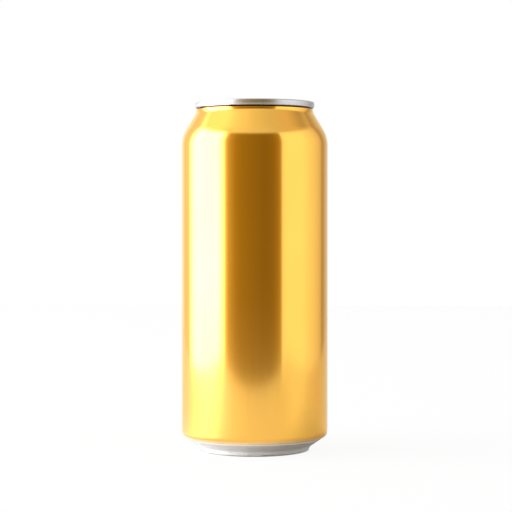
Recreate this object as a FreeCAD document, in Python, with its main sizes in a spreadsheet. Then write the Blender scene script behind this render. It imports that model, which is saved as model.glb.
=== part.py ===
"""A tall 16 fl oz beer can in three pieces: the filled body, the end seamed onto it, and the pull tab.

Frame: millimetres, +Z up, origin at the middle of the standing ring, on the plane that it stands on.
The tear panel lies towards -Y and the tab's heel towards +Y, with the rivet on the can's axis.
"""
import FreeCAD, Part
import math
import os
import re

import Sketcher

# Every size that can be set by itself: alias, value in millimetres or degrees, what it is.
SIZES = [
    ("can_height", 157.2, "standing plane to the top of the double seam"),
    ("body_dia", 66.2, "outside of the straight wall"),
    ("neck_drop", 2.65, "seam's foot down to the corner of neck and cone"),
    ("neck_angle", 31, "slope of the neck's cone, from the vertical"),
    ("neck_round", 7.3, "hollow radius from neck to cone"),
    ("shoulder_round", 14.5, "full radius from cone to straight wall"),
    ("foot_dia", 48.6, "corner of the foot's outer wall and the standing plane"),
    ("foot_height", 1.9, "standing plane up to the corner of foot and chime"),
    ("foot_angle", 60, "slope of the foot's outer wall, from the horizontal"),
    ("foot_round", 2.0, "hollow radius from foot to chime"),
    ("chime_angle", 34.2, "slope of the chime's cone, from the horizontal"),
    ("chime_round", 3.0, "radius from the chime to the straight wall"),
    ("nose_round", 1.0, "radius on both edges of the standing ring"),
    ("stand_flat", 0.4, "width of the flat that the can stands on"),
    ("dome_depth", 10.2, "standing plane up to the middle of the dome"),
    ("dome_radius", 46.0, "spherical radius of the dome"),
    ("dome_knuckle", 1.6, "radius from the dome to the foot's inner wall"),
    ("seam_dia", 54.0, "outside of the double seam"),
    ("seam_height", 2.8, "double seam from its foot to its top"),
    ("seam_thick", 1.25, "double seam from outside to inside"),
    ("seam_round", 0.5, "radius on the seam's edges"),
    ("seam_overhang", 0.55, "seam's outside beyond the neck under it"),
    ("end_gauge", 0.25, "sheet of the end"),
    ("chuck_angle", 13, "lean of the chuck wall, from the vertical"),
    ("knee_drop", 0.5, "seam's foot down to where the chuck wall starts to lean"),
    ("knee_round", 2.0, "radius where the chuck wall starts to lean"),
    ("sink_depth", 6.6, "seam's top down to the bottom of the countersink"),
    ("sink_width", 1.4, "countersink across, at its bottom corners"),
    ("sink_round", 0.6, "radius inside the countersink"),
    ("panel_height", 2.3, "countersink's bottom up to the panel"),
    ("panel_round", 0.5, "radius on the panel's edge"),
    ("deboss_depth", 0.45, "panel down to the sunk field round tab and tear panel"),
    ("deboss_margin", 1.6, "panel's edge in to the sunk field"),
    ("deboss_front_radius", 13.5, "sunk field round the tear panel"),
    ("deboss_tab_gap", 1.6, "sunk field's clearance round the tab's heel"),
    ("tear_margin", 1.2, "sunk field's edge in to the score line"),
    ("tear_near", 4.4, "rivet's axis out to the near side of the tear panel"),
    ("tear_stretch", 5.2, "tear panel's width beyond its length"),
    ("score_width", 0.3, "score line across"),
    ("score_depth", 0.1, "score line down"),
    ("bead_inset", 1.6, "score line in to the tear panel's bead"),
    ("bead_width", 1.2, "bead across"),
    ("bead_height", 0.2, "bead above the sunk field"),
    ("tab_gap", 0.25, "sunk field up to the tab's underside"),
    ("tab_thick", 1.35, "tab's curled rim from underside to top"),
    ("tab_nose_radius", 7.0, "tab's nose, round the rivet"),
    ("tab_heel_radius", 7.95, "tab's heel"),
    ("heel_margin", 5.4, "panel's edge in to the tab's heel"),
    ("tab_round", 0.6, "radius on the tab's curled rim"),
    ("web_radius", 5.0, "sunk web round the rivet"),
    ("web_rise", 0.25, "tab's underside up to the web"),
    ("web_thick", 0.35, "web's sheet"),
    ("slot_radius", 3.2, "inside of the slot round the rivet's tongue"),
    ("slot_width", 0.8, "slot across"),
    ("slot_sweep", 220, "slot's turn round the rivet, open at the nose"),
    ("ring_rim", 1.9, "finger hole's far end to the heel's end"),
    ("ring_side", 2.45, "finger hole's sides in from the heel's width"),
    ("ring_stretch", 2.8, "finger hole's width beyond its length"),
    ("rivet_foot_dia", 5.6, "rivet's shoulder under the web"),
    ("rivet_post_dia", 3.4, "rivet's post through the web"),
    ("rivet_head_dia", 5.2, "rivet's staked head"),
    ("rivet_head_thick", 0.45, "rivet's head above the web"),
    ("rivet_play", 0.05, "web's hole clear of the post, all round"),
]

# Places that several pieces share, as expressions of those sizes.
BODY_R = "(body_dia / 2)"
NECK_R = "(seam_dia / 2 - seam_overhang)"
FOOT_R = "(foot_dia / 2)"
SEAM_R = "(seam_dia / 2)"
SEAM_IN = "(seam_dia / 2 - seam_thick)"
SEAM_FOOT = "(can_height - seam_height)"
NECK_CORNER = "(can_height - seam_height - neck_drop)"
CHIME_R = "(foot_dia / 2 + foot_height / tan(foot_angle))"
FOOT_IN = "(foot_dia / 2 - nose_round * tan(foot_angle / 2) - stand_flat - nose_round)"
KNEE = "(can_height - seam_height - knee_drop)"
SINK = "(can_height - sink_depth)"
SINK_OUT = "(seam_dia / 2 - seam_thick - (sink_depth - seam_height - knee_drop) * tan(chuck_angle))"
PANEL_R = f"({SINK_OUT} - sink_width)"
PANEL_TOP = "(can_height - sink_depth + panel_height)"
FIELD = f"({PANEL_TOP} - deboss_depth)"
FIELD_FRONT = f"({PANEL_R} - deboss_margin)"
TEAR_LENGTH = f"({FIELD_FRONT} - tear_margin - tear_near)"
TEAR_Y = f"(-tear_near - {TEAR_LENGTH} / 2)"
HEEL_Y = f"({PANEL_R} - heel_margin - tab_heel_radius)"
RING_ROUND = "(tab_heel_radius - ring_side - ring_stretch / 2)"
RING_Y = f"({HEEL_Y} + tab_heel_radius - ring_rim - {RING_ROUND})"
TAB_BOTTOM = f"({FIELD} + tab_gap)"
WEB_BOTTOM = f"({TAB_BOTTOM} + web_rise)"
WEB_TOP = f"({WEB_BOTTOM} + web_thick)"
RIM_ROUND = "min(tab_round; tab_thick * 0.45)"
CONE = f"(({BODY_R} - {NECK_R}) / sin(neck_angle))"
FLARE = f"(({BODY_R} - {CHIME_R}) / cos(chime_angle))"

doc = FreeCAD.newDocument("beer_can")


def make_sheet():
    """Put every size in the spreadsheet, with its alias and what it is."""
    sheet = doc.addObject("Spreadsheet::Sheet", "Sizes")
    for row, (alias, number, note) in enumerate(SIZES, 1):
        sheet.set(f"A{row}", alias)
        sheet.set(f"B{row}", str(number))
        sheet.set(f"C{row}", note)
        sheet.setAlias(f"B{row}", alias)
    doc.recompute()
    return sheet


sizes = make_sheet()


def bound(expression):
    """Give each alias in an expression its sheet's name; aliases are the words with an underscore."""
    return re.sub(r"\b([a-z]+(?:_[a-z]+)+)\b", r"Sizes.\1", expression)


def value(expression):
    """The number that an expression of the sheet's sizes comes to."""
    return float(sizes.evalExpression(bound(expression)))


# --- Sketches -------------------------------------------------------------------------------------


def new_sketch(body, name, plane="XY_Plane", height=None):
    """A sketch on one of the body's own origin planes, raised to a height if one is given."""
    sketch = body.newObject("Sketcher::SketchObject", name)
    origin_plane = [item for item in body.Origin.OriginFeatures if item.Role == plane][0]
    sketch.AttachmentSupport = [(origin_plane, "")]
    sketch.MapMode = "FlatFace"
    if height is not None:
        sketch.setExpression("AttachmentOffset.Base.z", bound(height))
    return sketch


def bind(sketch, kind, where, expression):
    """Add a dimension whose value follows an expression of the sheet's sizes."""
    number = value(expression)
    if kind == "Angle":
        number = math.radians(number)
        expression = f"({expression}) * 1 deg"
    index = sketch.addConstraint(Sketcher.Constraint(kind, *where, number))
    sketch.setExpression(f"Constraints[{index}]", bound(expression))


def place(sketch, geometry, point, across, up):
    """Hold a point of the sketch at a place, on an axis where its coordinate is 0."""
    for kind, axis, expression in (("DistanceX", -2, across), ("DistanceY", -1, up)):
        if expression == "0":
            sketch.addConstraint(Sketcher.Constraint("PointOnObject", geometry, point, axis))
        else:
            bind(sketch, kind, (-1, 1, geometry, point), expression)


def draw_outline(sketch, corners):
    """Draw a closed outline of straight sides, given as corners of (across, up, rounding).

    A rounded corner is an arc tangent to both sides. Its sharp corner stays as a construction point
    where the sides would meet, and that point carries the corner's dimensions.
    """
    spots = [FreeCAD.Vector(value(across), value(up), 0) for across, up, _ in corners]
    ends = []
    for index, (_, _, rounding) in enumerate(corners):
        spot = spots[index]
        back = (spots[index - 1] - spot).normalize()
        ahead = (spots[(index + 1) % len(spots)] - spot).normalize()
        if rounding is None:
            ends.append((spot, spot, None))
            continue
        half = back.getAngle(ahead) / 2
        radius = value(rounding)
        middle = spot + (back + ahead).normalize() * (radius / math.sin(half))
        reach = radius / math.tan(half)
        ends.append((spot + back * reach, spot + ahead * reach, middle))
    sides = []
    for index in range(len(corners)):
        start = ends[index][1]
        finish = ends[(index + 1) % len(corners)][0]
        sides.append(sketch.addGeometry(Part.LineSegment(start, finish), False))
    for index, (across, up, rounding) in enumerate(corners):
        before, after = sides[index - 1], sides[index]
        if rounding is None:
            sketch.addConstraint(Sketcher.Constraint("Coincident", before, 2, after, 1))
            place(sketch, after, 1, across, up)
            continue
        arc_start, arc_end, middle = ends[index]
        clockwise = (arc_start - middle).cross(arc_end - middle).z < 0
        first, last = (arc_end, arc_start) if clockwise else (arc_start, arc_end)
        circle = Part.Circle(middle, FreeCAD.Vector(0, 0, 1), value(rounding))
        arc = Part.ArcOfCircle(circle, circle.parameter(first), circle.parameter(last))
        arc_index = sketch.addGeometry(arc, False)
        at_before, at_after = (2, 1) if clockwise else (1, 2)
        sketch.addConstraint(Sketcher.Constraint("Tangent", before, 2, arc_index, at_before))
        sketch.addConstraint(Sketcher.Constraint("Tangent", after, 1, arc_index, at_after))
        bind(sketch, "Radius", (arc_index,), rounding)
        corner = sketch.addGeometry(Part.Point(spots[index]), True)
        sketch.addConstraint(Sketcher.Constraint("PointOnObject", corner, 1, before))
        sketch.addConstraint(Sketcher.Constraint("PointOnObject", corner, 1, after))
        place(sketch, corner, 1, across, up)


def draw_oval(sketch, first, second):
    """Draw the outline round two circles, each (across, up, radius), with a straight side on each hand."""
    centres = [FreeCAD.Vector(value(item[0]), value(item[1]), 0) for item in (first, second)]
    radii = [value(item[2]) for item in (first, second)]
    span = centres[1] - centres[0]
    heading = math.atan2(span.y, span.x)
    lean = math.acos((radii[0] - radii[1]) / span.Length)
    up = FreeCAD.Vector(0, 0, 1)
    arcs = []
    for index, (start, finish) in enumerate(((heading + lean, heading - lean + 2 * math.pi),
                                             (heading - lean, heading + lean))):
        circle = Part.Circle(centres[index], up, radii[index])
        arcs.append(sketch.addGeometry(Part.ArcOfCircle(circle, start, finish), False))
    points = [[geometry.StartPoint, geometry.EndPoint] for geometry in sketch.Geometry[-2:]]
    for near, far in ((1, 0), (0, 1)):
        side = sketch.addGeometry(Part.LineSegment(points[0][near], points[1][far]), False)
        sketch.addConstraint(Sketcher.Constraint("Tangent", side, 1, arcs[0], near + 1))
        sketch.addConstraint(Sketcher.Constraint("Tangent", side, 2, arcs[1], far + 1))
    for arc, (across, along, radius) in zip(arcs, (first, second)):
        place(sketch, arc, 3, across, along)
        bind(sketch, "Radius", (arc,), radius)


def draw_circle(sketch, radius):
    """Draw a circle round the can's axis."""
    circle = Part.Circle(FreeCAD.Vector(), FreeCAD.Vector(0, 0, 1), value(radius))
    index = sketch.addGeometry(circle, False)
    place(sketch, index, 3, "0", "0")
    bind(sketch, "Radius", (index,), radius)


# --- Features -------------------------------------------------------------------------------------


def revolve(body, kind, name, sketch):
    """Turn a sketch of the XZ plane all the way round the can's axis, as a Revolution or a Groove."""
    before = body.Tip.Shape.Volume if body.Tip else 0
    feature = body.newObject(f"PartDesign::{kind}", name)
    feature.Profile = sketch
    feature.ReferenceAxis = (sketch, ["V_Axis"])
    feature.Angle = 360
    settle(feature, before, grows=kind == "Revolution")


def extrude(body, kind, name, sketch, length, upward):
    """Pad or pocket a sketch by a length; a Pad grows along +Z and a Pocket cuts along -Z by itself."""
    before = body.Tip.Shape.Volume if body.Tip else 0
    feature = body.newObject(f"PartDesign::{kind}", name)
    feature.Profile = sketch
    feature.setExpression("Length", bound(length))
    feature.Reversed = upward == (kind == "Pocket")
    settle(feature, before, grows=kind == "Pad")


def settle(feature, before, grows):
    """Recompute, and check that the feature added to the solid or took from it as its kind should."""
    doc.recompute()
    change = feature.Shape.Volume - before
    if abs(change) < 1e-6 or (change > 0) != grows:
        raise RuntimeError(f"{feature.Label} changed the volume by {change:.3f}")


def round_edges(body, name, heights, radius):
    """Fillet every edge of the body's tip that lies flat at one of the heights."""
    base = body.Tip
    levels = [value(height) for height in heights]
    edges = []
    for index, edge in enumerate(base.Shape.Edges, 1):
        box = edge.BoundBox
        if box.ZLength < 1e-6 and any(abs(box.ZMin - level) < 1e-4 for level in levels):
            edges.append(f"Edge{index}")
    feature = body.newObject("PartDesign::Fillet", name)
    feature.Base = (base, edges)
    feature.setExpression("Radius", bound(radius))
    settle(feature, base.Shape.Volume, grows=False)


# --- Shared outlines ------------------------------------------------------------------------------


def end_face(below):
    """Corners of the end's sheet from the axis out to its chuck wall, on the face that far below its top."""
    wall = f"{SINK_OUT} - ({below}) * tan(chuck_angle) + ({below}) / cos(chuck_angle)"
    return [
        ("0", f"{PANEL_TOP} - {below}", None),
        (f"{PANEL_R} - {below}", f"{PANEL_TOP} - {below}", f"panel_round - {below}"),
        (f"{PANEL_R} - {below}", f"{SINK} - {below}", f"sink_round + {below}"),
        (wall, f"{SINK} - {below}", f"sink_round + {below}"),
        (f"{SEAM_IN} + {below}", f"{KNEE} - {below} * tan(chuck_angle / 2)", f"knee_round + {below}"),
    ]


def draw_field(sketch, grown):
    """The sunk field's outline, from the tear panel's end to round the tab's heel, grown by a margin."""
    front = ("0", f"deboss_front_radius - {FIELD_FRONT}", f"deboss_front_radius + {grown}")
    heel = ("0", HEEL_Y, f"tab_heel_radius + deboss_tab_gap + {grown}")
    draw_oval(sketch, front, heel)


def draw_tear_oval(sketch, inset):
    """An oval that far inside the score line, round the middle of the tear panel."""
    radius = f"{TEAR_LENGTH} / 2 - {inset}"
    draw_oval(sketch, ("-tear_stretch / 2", TEAR_Y, radius), ("tear_stretch / 2", TEAR_Y, radius))


# --- The filled body ------------------------------------------------------------------------------


def can_profile():
    """Half the can's section: foot, chime, wall, shoulder and neck, then the end's underside.

    No radius takes more of a cone than its share: six tenths at the wall, three tenths at the neck.
    """
    chime_top = f"foot_height + ({BODY_R} - {CHIME_R}) * tan(chime_angle)"
    chime_round = f"min(chime_round; 0.6 * {FLARE} / tan(45 - chime_angle / 2))"
    shoulder = f"{NECK_CORNER} - ({BODY_R} - {NECK_R}) / tan(neck_angle)"
    shoulder_round = f"min(shoulder_round; 0.6 * {CONE} / tan(neck_angle / 2))"
    neck_round = f"min(neck_round; 0.3 * {CONE} / tan(neck_angle / 2))"
    outside = [
        ("0", "0", None),
        (FOOT_R, "0", "nose_round"),
        (CHIME_R, "foot_height", "foot_round"),
        (BODY_R, chime_top, chime_round),
        (BODY_R, shoulder, shoulder_round),
        (NECK_R, NECK_CORNER, neck_round),
        (NECK_R, SEAM_FOOT, None),
        (f"{SEAM_IN} + end_gauge", SEAM_FOOT, None),
    ]
    return outside + end_face("end_gauge")[::-1]


def draw_dome(sketch):
    """Half the hollow under the can: the standing ring's inner nose, its wall, the knuckle and the dome."""
    wall, nose, knuckle = value(FOOT_IN), value("nose_round"), value("dome_knuckle")
    dome, depth = value("dome_radius"), value("dome_depth")
    up = FreeCAD.Vector(0, 0, 1)
    dome_centre = FreeCAD.Vector(0, depth - dome, 0)
    knuckle_x = wall - knuckle
    knuckle_up = dome_centre.y + math.sqrt((dome - knuckle) ** 2 - knuckle_x ** 2)
    knuckle_centre = FreeCAD.Vector(knuckle_x, knuckle_up, 0)
    lean = math.atan2(knuckle_up - dome_centre.y, knuckle_x)
    touch = dome_centre + FreeCAD.Vector(math.cos(lean), math.sin(lean), 0) * dome
    floor_end = FreeCAD.Vector(wall + nose, 0, 0)
    shapes = [
        Part.LineSegment(FreeCAD.Vector(), floor_end),
        Part.ArcOfCircle(Part.Circle(FreeCAD.Vector(wall + nose, nose, 0), up, nose), math.pi, 1.5 * math.pi),
        Part.LineSegment(FreeCAD.Vector(wall, nose, 0), FreeCAD.Vector(wall, knuckle_up, 0)),
        Part.ArcOfCircle(Part.Circle(knuckle_centre, up, knuckle), 0, lean),
        Part.ArcOfCircle(Part.Circle(dome_centre, up, dome), lean, math.pi / 2),
        Part.LineSegment(FreeCAD.Vector(0, depth, 0), FreeCAD.Vector()),
    ]
    floor, inner_nose, inner_wall, turn, crown, axis = [sketch.addGeometry(item, False) for item in shapes]
    relations = [
        ("Coincident", floor, 1, -1, 1),
        ("Horizontal", floor),
        ("Tangent", floor, 2, inner_nose, 2),
        ("Tangent", inner_nose, 1, inner_wall, 1),
        ("Vertical", inner_wall),
        ("Tangent", inner_wall, 2, turn, 1),
        ("Tangent", turn, 2, crown, 1),
        ("Coincident", crown, 2, axis, 1),
        ("Coincident", axis, 2, floor, 1),
        ("PointOnObject", crown, 2, -2),
        ("PointOnObject", crown, 3, -2),
    ]
    for relation in relations:
        sketch.addConstraint(Sketcher.Constraint(*relation))
    bind(sketch, "Radius", (inner_nose,), "nose_round")
    bind(sketch, "Radius", (turn,), "dome_knuckle")
    bind(sketch, "Radius", (crown,), "dome_radius")
    bind(sketch, "DistanceX", (-1, 1, inner_wall, 1), FOOT_IN)
    bind(sketch, "DistanceY", (-1, 1, crown, 2), "dome_depth")


def make_can_body():
    """The drawn body with what it holds, closed on top by the underside of the end."""
    body = doc.addObject("PartDesign::Body", "can_body")
    section = new_sketch(body, "can_section", "XZ_Plane")
    draw_outline(section, can_profile())
    revolve(body, "Revolution", "drawn_body", section)
    hollow = new_sketch(body, "dome_section", "XZ_Plane")
    draw_dome(hollow)
    revolve(body, "Groove", "base_dome", hollow)
    field = new_sketch(body, "field_seat_outline", height=f"{PANEL_TOP} - end_gauge")
    draw_field(field, "end_gauge")
    extrude(body, "Pocket", "field_seat", field, "deboss_depth", upward=False)
    return body


# --- The end --------------------------------------------------------------------------------------


def end_profile():
    """Half the end's section: the sheet's top face, the double seam, and back along the underside."""
    seam = [
        (SEAM_IN, "can_height", "seam_round"),
        (SEAM_R, "can_height", "seam_round"),
        (SEAM_R, SEAM_FOOT, "seam_round"),
        (f"{SEAM_IN} + end_gauge", SEAM_FOOT, None),
    ]
    return end_face("0") + seam + end_face("end_gauge")[::-1]


def rivet_profile():
    """Half the rivet's section: shoulder, post through the tab's web, and staked head."""
    base = f"{FIELD} - end_gauge / 2"
    head_top = f"{WEB_TOP} + rivet_head_thick"
    return [
        ("0", base, None),
        ("rivet_foot_dia / 2", base, None),
        ("rivet_foot_dia / 2", WEB_BOTTOM, None),
        ("rivet_post_dia / 2", WEB_BOTTOM, None),
        ("rivet_post_dia / 2", WEB_TOP, None),
        ("rivet_head_dia / 2", WEB_TOP, None),
        ("rivet_head_dia / 2", head_top, "rivet_head_thick / 2"),
        ("0", head_top, None),
    ]


def make_can_end():
    """The formed end with its double seam, sunk field, scored tear panel, bead and rivet."""
    body = doc.addObject("PartDesign::Body", "can_end")
    section = new_sketch(body, "end_section", "XZ_Plane")
    draw_outline(section, end_profile())
    revolve(body, "Revolution", "formed_end", section)
    under = new_sketch(body, "field_under_outline", height=f"{PANEL_TOP} - end_gauge")
    draw_field(under, "end_gauge")
    extrude(body, "Pad", "field_under", under, "deboss_depth", upward=False)
    field = new_sketch(body, "field_outline", height=PANEL_TOP)
    draw_field(field, "0")
    extrude(body, "Pocket", "sunk_field", field, "deboss_depth", upward=False)
    score = new_sketch(body, "score_outline", height=FIELD)
    draw_tear_oval(score, "0")
    draw_tear_oval(score, "score_width")
    extrude(body, "Pocket", "score_line", score, "score_depth", upward=False)
    bead = new_sketch(body, "bead_outline", height=FIELD)
    draw_tear_oval(bead, "(bead_inset + score_width)")
    draw_tear_oval(bead, "(bead_inset + score_width + bead_width)")
    extrude(body, "Pad", "tear_bead", bead, "bead_height", upward=True)
    rivet = new_sketch(body, "rivet_section", "XZ_Plane")
    draw_outline(rivet, rivet_profile())
    revolve(body, "Revolution", "rivet", rivet)
    return body


# --- The pull tab ---------------------------------------------------------------------------------


def draw_slot(sketch):
    """The slot that frees the rivet's tongue: part of a ring round the rivet, open towards the nose."""
    up = FreeCAD.Vector(0, 0, 1)
    half = math.radians(value("slot_sweep")) / 2
    start, stop = math.pi / 2 - half, math.pi / 2 + half
    inner = Part.Circle(FreeCAD.Vector(), up, value("slot_radius"))
    outer = Part.Circle(FreeCAD.Vector(), up, value("slot_radius + slot_width"))
    inside = sketch.addGeometry(Part.ArcOfCircle(inner, start, stop), False)
    outside = sketch.addGeometry(Part.ArcOfCircle(outer, start, stop), False)
    edges = sketch.Geometry[-2:]
    right = sketch.addGeometry(Part.LineSegment(edges[0].StartPoint, edges[1].StartPoint), False)
    left = sketch.addGeometry(Part.LineSegment(edges[0].EndPoint, edges[1].EndPoint), False)
    for side, end in ((right, 1), (left, 2)):
        sketch.addConstraint(Sketcher.Constraint("Coincident", side, 1, inside, end))
        sketch.addConstraint(Sketcher.Constraint("Coincident", side, 2, outside, end))
        sketch.addConstraint(Sketcher.Constraint("PointOnObject", -1, 1, side))
    for arc in (inside, outside):
        place(sketch, arc, 3, "0", "0")
    bind(sketch, "Radius", (inside,), "slot_radius")
    bind(sketch, "Radius", (outside,), "slot_radius + slot_width")
    bind(sketch, "Angle", (-1, 1, right, 1), "90 - slot_sweep / 2")
    bind(sketch, "Angle", (-1, 1, left, 1), "90 + slot_sweep / 2")


def make_pull_tab():
    """The tab: a curled rim round a thin web at the rivet and a finger hole at the heel."""
    body = doc.addObject("PartDesign::Body", "pull_tab")
    tab_top = f"{TAB_BOTTOM} + tab_thick"
    outline = new_sketch(body, "tab_outline", height=TAB_BOTTOM)
    draw_oval(outline, ("0", "0", "tab_nose_radius"), ("0", HEEL_Y, "tab_heel_radius"))
    extrude(body, "Pad", "tab_blank", outline, "tab_thick", upward=True)
    hole = new_sketch(body, "finger_outline", height=tab_top)
    draw_oval(hole, ("-ring_stretch / 2", RING_Y, RING_ROUND), ("ring_stretch / 2", RING_Y, RING_ROUND))
    extrude(body, "Pocket", "finger_hole", hole, "tab_thick", upward=False)
    round_edges(body, "curled_rim", [TAB_BOTTOM, tab_top], RIM_ROUND)
    over = new_sketch(body, "web_top_outline", height=tab_top)
    draw_circle(over, "web_radius")
    extrude(body, "Pocket", "web_top", over, "tab_thick - web_rise - web_thick", upward=False)
    under = new_sketch(body, "web_under_outline", height=TAB_BOTTOM)
    draw_circle(under, "web_radius")
    extrude(body, "Pocket", "web_under", under, "web_rise", upward=True)
    bore = new_sketch(body, "rivet_bore_outline", height=WEB_TOP)
    draw_circle(bore, "rivet_post_dia / 2 + rivet_play")
    extrude(body, "Pocket", "rivet_bore", bore, "web_thick", upward=False)
    slot = new_sketch(body, "tongue_slot_outline", height=WEB_TOP)
    draw_slot(slot)
    extrude(body, "Pocket", "tongue_slot", slot, "web_thick", upward=False)
    return body


# --- Check and write ------------------------------------------------------------------------------


def check(bodies):
    """Stop if any object failed or any piece isn't one valid solid."""
    for item in doc.Objects:
        if "Invalid" in item.State or "Error" in item.State:
            raise RuntimeError(f"{item.Label} failed: {item.State}")
    for body in bodies:
        shape = body.Shape
        if shape.isNull() or not shape.isValid() or len(shape.Solids) != 1:
            raise RuntimeError(f"{body.Label} is not one valid solid")


def write(bodies):
    """Write each piece to its own STEP file, named after it."""
    os.makedirs("parts", exist_ok=True)
    for body in bodies:
        body.Shape.exportStep(f"parts/{body.Label}.step")
        print(f"{body.Label}: {body.Shape.Volume:.1f} cubic mm")


pieces = [make_can_body(), make_can_end(), make_pull_tab()]
doc.recompute()
check(pieces)
write(pieces)
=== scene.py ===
"""Looks of the tall beer can: gold-lacquered wall, bare aluminium base, formed end and curled pull tab.

Everything is in metres in the frame's axes: +Z up, the tear panel towards -Y, the tab's heel towards +Y.
"""
import math

import bmesh
import bpy
import numpy as np
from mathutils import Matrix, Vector
from mathutils.geometry import delaunay_2d_cdt


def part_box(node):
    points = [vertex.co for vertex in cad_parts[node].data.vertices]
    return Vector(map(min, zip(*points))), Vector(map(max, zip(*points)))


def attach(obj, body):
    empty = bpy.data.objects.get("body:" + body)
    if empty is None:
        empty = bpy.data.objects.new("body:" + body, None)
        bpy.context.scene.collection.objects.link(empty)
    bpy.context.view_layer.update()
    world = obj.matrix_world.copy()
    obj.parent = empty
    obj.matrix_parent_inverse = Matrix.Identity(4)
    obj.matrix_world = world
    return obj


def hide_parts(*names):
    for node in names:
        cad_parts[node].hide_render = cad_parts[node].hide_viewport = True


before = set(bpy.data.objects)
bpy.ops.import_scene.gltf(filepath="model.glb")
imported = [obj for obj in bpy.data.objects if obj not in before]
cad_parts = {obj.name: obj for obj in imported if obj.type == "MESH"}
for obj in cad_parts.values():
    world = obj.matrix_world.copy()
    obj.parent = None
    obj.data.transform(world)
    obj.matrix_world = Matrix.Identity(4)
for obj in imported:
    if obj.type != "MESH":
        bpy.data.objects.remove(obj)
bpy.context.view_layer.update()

MM = 0.001

# Fineness: facets round the axis, the arcs' largest step, and what counts as on the axis or as one point.
SEGMENTS = 288
ARC_STEP = math.radians(5)
ON_AXIS = 1e-7
SAME_SPOT = 1e-7
SLIVER = 1e-8
SAME_PLAN_SPOT_MM = 1e-5
SHARP_TURNED = math.radians(38)
SHARP_FORMED = math.radians(50)

# Levels and widths that the frame gives.
body_low, body_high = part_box("can_body")
end_low, end_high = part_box("can_end")
tab_low, tab_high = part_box("pull_tab")
BODY_R = body_high.x
SEAM_R = end_high.x
SEAM_TOP = end_high.z
SEAM_FOOT = body_high.z
TAB_MID = (tab_low.z + tab_high.z) / 2
TAB_HALF = (tab_high.z - tab_low.z) / 2

# Body: the drawn wall and its base.
NECK_R = SEAM_R - 0.55 * MM
NECK_DROP = 1.7 * MM
NECK_ANGLE = math.radians(31)
NECK_ROUND = 3.7 * MM
SHOULDER_ROUND = 14.5 * MM
FOOT_R = 24.3 * MM
FOOT_HEIGHT = 1.9 * MM
FOOT_ANGLE = math.radians(60)
FOOT_ROUND = 6.0 * MM
CHIME_ANGLE = math.radians(34.2)
CHIME_ROUND = 3.0 * MM
NOSE_ROUND = 1.0 * MM
STAND_FLAT = 0.4 * MM
DOME_DEPTH = 10.2 * MM
DOME_RADIUS = 46.0 * MM
DOME_KNUCKLE = 1.6 * MM
CROWN_POINTS = 40
KNUCKLE_POINTS = 14
WALL_GAUGE = 0.15 * MM
CREVICE_HEIGHT = 0.55 * MM
CREVICE_LIP = 0.22 * MM
CREVICE_DEPTH = 0.35 * MM
CREVICE_ROUND = 0.12 * MM
LACQUER_EDGE = 6.1 * MM

# End: the double seam, countersink and panel.
END_GAUGE = 0.25 * MM
SEAM_THICK = 1.25 * MM
SEAM_ROUND = 0.5 * MM
SEAM_TUCK = 1.3 * MM
SEAM_TUCK_IN = 0.22 * MM
SEAM_TUCK_ROUND = 1.6 * MM
SEAM_HOOK_ROUND = 0.3 * MM
CHUCK_ANGLE = math.radians(13)
KNEE_DROP = 0.5 * MM
KNEE_ROUND = 2.0 * MM
SINK_WIDTH = 1.4 * MM
SINK_ROUND = 0.6 * MM
PANEL_HEIGHT = 2.3 * MM
PANEL_ROUND = 0.5 * MM
PANEL_EDGE_FLAT = 0.1 * MM
SINK = end_low.z + END_GAUGE
SEAM_IN = SEAM_R - SEAM_THICK
KNEE = SEAM_FOOT - KNEE_DROP
SINK_OUT = SEAM_IN - (KNEE - SINK) * math.tan(CHUCK_ANGLE)
PANEL_R = SINK_OUT - SINK_WIDTH
PANEL_TOP = SINK + PANEL_HEIGHT

# Pull tab.
HEEL_R = tab_high.x
NOSE_R = -tab_low.y
HEEL_Y = tab_high.y - HEEL_R
WEB_R = 5.0 * MM
WEB_ROLL = 0.9 * MM
WEB_BOTTOM = tab_low.z + 0.25 * MM
WEB_TOP = WEB_BOTTOM + 0.35 * MM
SLOT_IN = 3.2 * MM
SLOT_OUT = 4.0 * MM
SLOT_HALF_SWEEP = math.radians(110)
SLOT_POINTS = 60
RING_RIM = 1.9 * MM
RING_SIDE = 2.45 * MM
RING_STRETCH = 2.8 * MM
RING_ROUND = HEEL_R - RING_SIDE - RING_STRETCH / 2
RING_Y = tab_high.y - RING_RIM - RING_ROUND
PLATEAU_SHARE = 0.35
CURL_STEPS = 16
RING_CURL_STEPS = 12
TAB_OVAL = ((0, 0, NOSE_R), (0, HEEL_Y, HEEL_R))
RING_OVAL = ((-RING_STRETCH / 2, RING_Y, RING_ROUND), (RING_STRETCH / 2, RING_Y, RING_ROUND))

# Sunk field round the tab, and the finger well under the tab's heel.
FIELD_DEPTH = 0.45 * MM
FIELD_WALL = 0.8 * MM
FIELD_FRONT_R = 13.5 * MM
FIELD_HEEL_GAP = 1.6 * MM
FIELD_FRONT = PANEL_R - 1.6 * MM
FIELD = PANEL_TOP - FIELD_DEPTH
FIELD_OVAL = ((0, FIELD_FRONT_R - FIELD_FRONT, FIELD_FRONT_R), (0, HEEL_Y, HEEL_R + FIELD_HEEL_GAP))
WELL_Y = HEEL_Y + HEEL_R - 0.6 * MM
WELL_R = 5.2 * MM
WELL_SQUASH = 1.25
WELL_DEPTH = 0.35 * MM

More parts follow.
